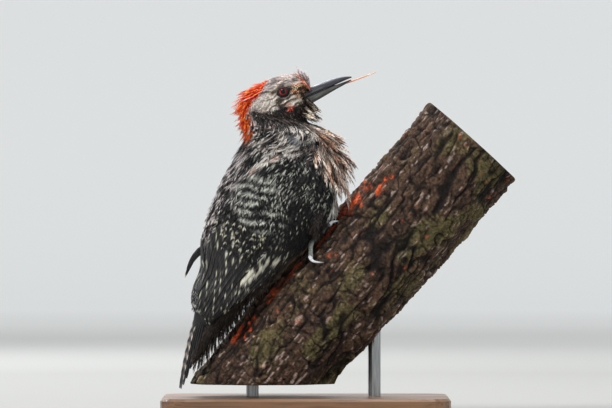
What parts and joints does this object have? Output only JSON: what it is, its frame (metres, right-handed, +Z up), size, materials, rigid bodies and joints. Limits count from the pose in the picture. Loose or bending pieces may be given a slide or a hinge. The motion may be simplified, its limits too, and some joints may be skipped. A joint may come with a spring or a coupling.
{
  "type": "woodpecker",
  "caption": "Life-size still woodpecker with folded wings and long bill, clinging to a short leaning branch on a flat display base.",
  "frame": {"origin": "middle of the stand base's underside", "axes": "+X the way the bill points, level; +Z up; -Y out of the bird's right side. The branch leans up towards +X in the XZ plane"},
  "size_m": [0.2257, 0.124, 0.2194],
  "materials": {
    "back_plumage": "soft barred contour feathers",
    "nape_plumage": "soft red feathers",
    "crown_plumage": "short soft feathers",
    "breast_plumage": "loose soft feathers",
    "flight_feathers": "stiff satin vanes",
    "bill_horn": "satin horn",
    "claw_horn": "polished horn",
    "leg_scales": "fine matt scales",
    "tongue_flesh": "moist",
    "eye_ball": "wet gloss",
    "bark": "rough furrowed bark",
    "base_wood": "dark satin lacquer",
    "rod_steel": "satin"
  },
  "bodies": {
    "root": {"trunk": "back_plumage", "neck": "nape_plumage", "head": "crown_plumage", "bill_upper": "bill_horn", "bill_lower": "bill_horn", "tongue": "tongue_flesh", "tail": "flight_feathers", "eye_right": "eye_ball", "wing_right": "flight_feathers", "primaries_right": "flight_feathers", "thigh_right": "breast_plumage", "tarsus_right": "leg_scales", "toe_right_1": "leg_scales", "claw_right_1": "claw_horn", "toe_right_2": "leg_scales", "claw_right_2": "claw_horn", "toe_right_3": "leg_scales", "claw_right_3": "claw_horn", "toe_right_4": "leg_scales", "claw_right_4": "claw_horn", "eye_left": "eye_ball", "wing_left": "flight_feathers", "primaries_left": "flight_feathers", "thigh_left": "breast_plumage", "tarsus_left": "leg_scales", "toe_left_1": "leg_scales", "claw_left_1": "claw_horn", "toe_left_2": "leg_scales", "claw_left_2": "claw_horn", "toe_left_3": "leg_scales", "claw_left_3": "claw_horn", "toe_left_4": "leg_scales", "claw_left_4": "claw_horn", "stand_rod_low": "rod_steel", "stand_rod_high": "rod_steel", "perch": "bark", "stand_base": "base_wood"}
  },
  "joints": []
}
